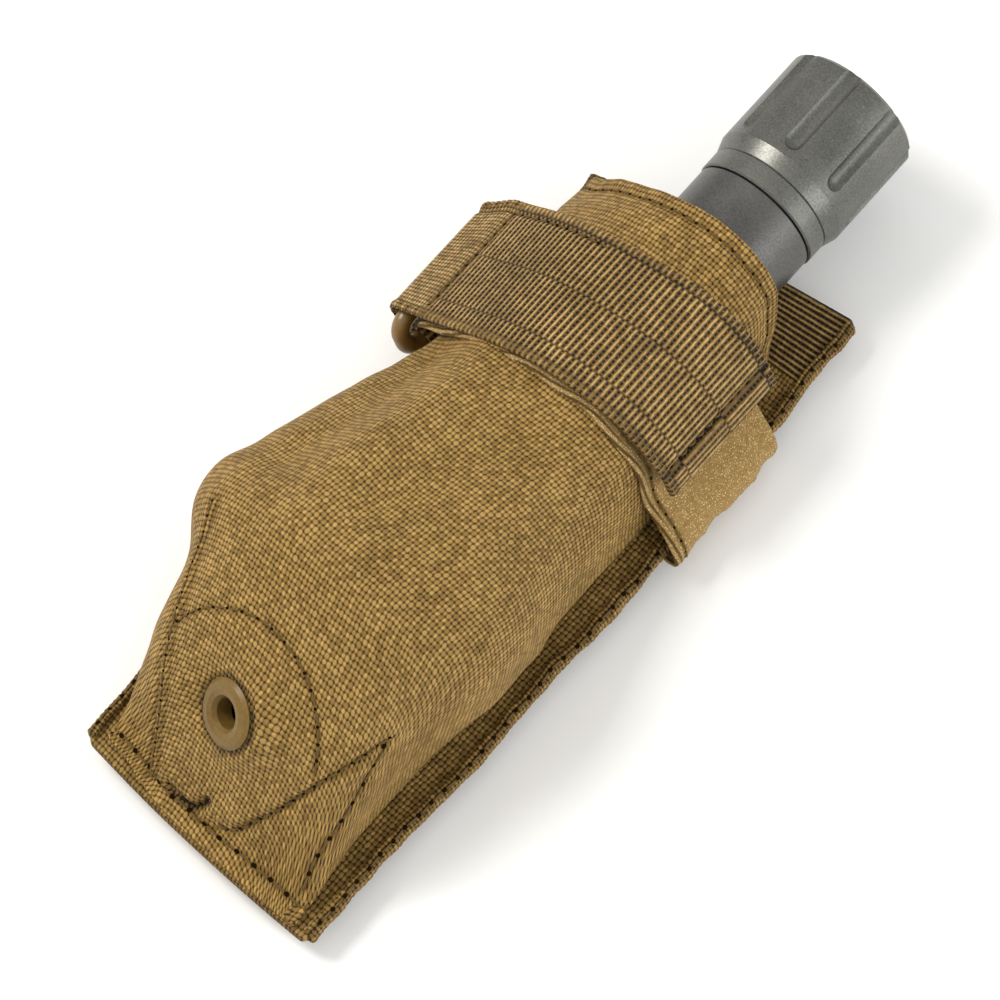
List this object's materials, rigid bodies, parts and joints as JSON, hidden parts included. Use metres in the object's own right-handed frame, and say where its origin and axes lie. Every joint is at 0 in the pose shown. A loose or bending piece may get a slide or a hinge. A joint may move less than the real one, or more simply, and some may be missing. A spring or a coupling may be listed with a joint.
{
  "type": "tactical flashlight in belt pouch",
  "caption": "Fluted metal hand torch carried in a coyote webbing pouch, with a closure strap through a plastic loop, a drain grommet and back webbing for a belt or vest.",
  "frame": {"origin": "centre of the middle webbing row's outer face, on the plane that the pouch rests on", "axes": "+X across the pouch to the right, +Y along it towards the torch's tail, +Z out of the pouch's front"},
  "size_m": [0.0719, 0.1824, 0.0436],
  "materials": {
    "pack_cloth": "coarse woven nylon, coated inside",
    "webbing": "ribbed nylon webbing",
    "binding_tape": "fine woven tape",
    "loop_pile": "looped pile",
    "hook_tape": "hook tape",
    "painted_brass": "semi-gloss paint",
    "ring_plastic": "smooth moulded",
    "anodised_dark": "hard anodised, satin",
    "anodised_light": "hard anodised, satin",
    "bare_aluminium": "turned",
    "turned_brass": "turned",
    "spring_steel": "plated wire",
    "cell_wrap": "shrink sleeve",
    "circuit_board": "solder mask",
    "emitter": "phosphor on white board",
    "bright_reflector": "mirror",
    "lens_glass": "clear",
    "black_plastic": "moulded",
    "black_rubber": "matt"
  },
  "bodies": {
    "pouch": {"back_panel": "pack_cloth", "panel_lining": "pack_cloth", "top_webbing": "webbing", "edge_binding": "binding_tape", "upper_row": "webbing", "middle_row": "webbing", "lower_row": "webbing", "carry_strap": "webbing", "snap_stud": "painted_brass", "pocket_front": "pack_cloth", "grommet_patch": "pack_cloth", "drain_grommet": "painted_brass", "grommet_washer": "painted_brass", "ring_tab": "webbing", "loop_strap": "loop_pile"},
    "ring": {"strap_ring": "ring_plastic"},
    "strap": {"closure_strap": "webbing", "hook_patch": "hook_tape"},
    "tab": {"snap_tab": "webbing", "snap_cap": "painted_brass", "snap_socket": "painted_brass"},
    "torch": {"barrel": "anodised_dark", "cells": "cell_wrap", "tail_oring": "black_rubber", "head_oring": "black_rubber"},
    "switch": {"switch_module": "black_plastic", "tail_spring": "spring_steel"},
    "cap": {"tail_cap": "anodised_light", "switch_retainer": "bare_aluminium"},
    "button": {"switch_boot": "black_rubber"},
    "lamp": {"lamp_pill": "turned_brass", "driver_board": "circuit_board", "emitter_board": "emitter", "head_spring": "spring_steel"},
    "head": {"head_shell": "anodised_dark", "reflector": "bright_reflector", "lens": "lens_glass", "lens_gasket": "black_rubber", "bezel_ring": "anodised_light"}
  },
  "joints": [
    {"name": "torch_slide", "type": "slide", "parent": "pouch", "child": "torch", "axis": [0, 1, 0], "range_m": [0, 0.14]},
    {"name": "ring_swing", "type": "hinge", "parent": "pouch", "child": "ring", "pos_m": [-0.0322, 0.035, 0.00555], "axis": [0, -1, 0], "range_deg": [0, 40]},
    {"name": "strap_open", "type": "hinge", "parent": "ring", "child": "strap", "pos_m": [-0.0349, 0.035, 0.01275], "axis": [0, -1, 0], "range_deg": [0, 115]},
    {"name": "tab_open", "type": "hinge", "parent": "pouch", "child": "tab", "pos_m": [0, -0.065, 0.0015], "axis": [1, 0, 0], "range_deg": [0, 90]},
    {"name": "cap_travel", "type": "slide", "parent": "torch", "child": "switch", "axis": [0, 1, 0], "range_m": [0, 0.0031]},
    {"name": "cap_turn", "type": "hinge", "parent": "switch", "child": "cap", "pos_m": [0.0036, 0.09, 0.02015], "axis": [0, 1, 0], "range_deg": [0, 1080]},
    {"name": "button_press", "type": "slide", "parent": "cap", "child": "button", "axis": [0, -1, 0], "range_m": [0, 0.0018], "stiffness_N_per_m": 1500, "springref_m": -0.001},
    {"name": "head_travel", "type": "slide", "parent": "torch", "child": "lamp", "axis": [0, -1, 0], "range_m": [0, 0.0021]},
    {"name": "head_turn", "type": "hinge", "parent": "lamp", "child": "head", "pos_m": [0.0036, -0.035, 0.02015], "axis": [0, -1, 0], "range_deg": [0, 720]}
  ],
  "couplings": [
    {"joint": "cap_travel", "follows": "cap_turn", "m_per_rad": 0.00015915},
    {"joint": "head_travel", "follows": "head_turn", "m_per_rad": 0.00015915}
  ]
}
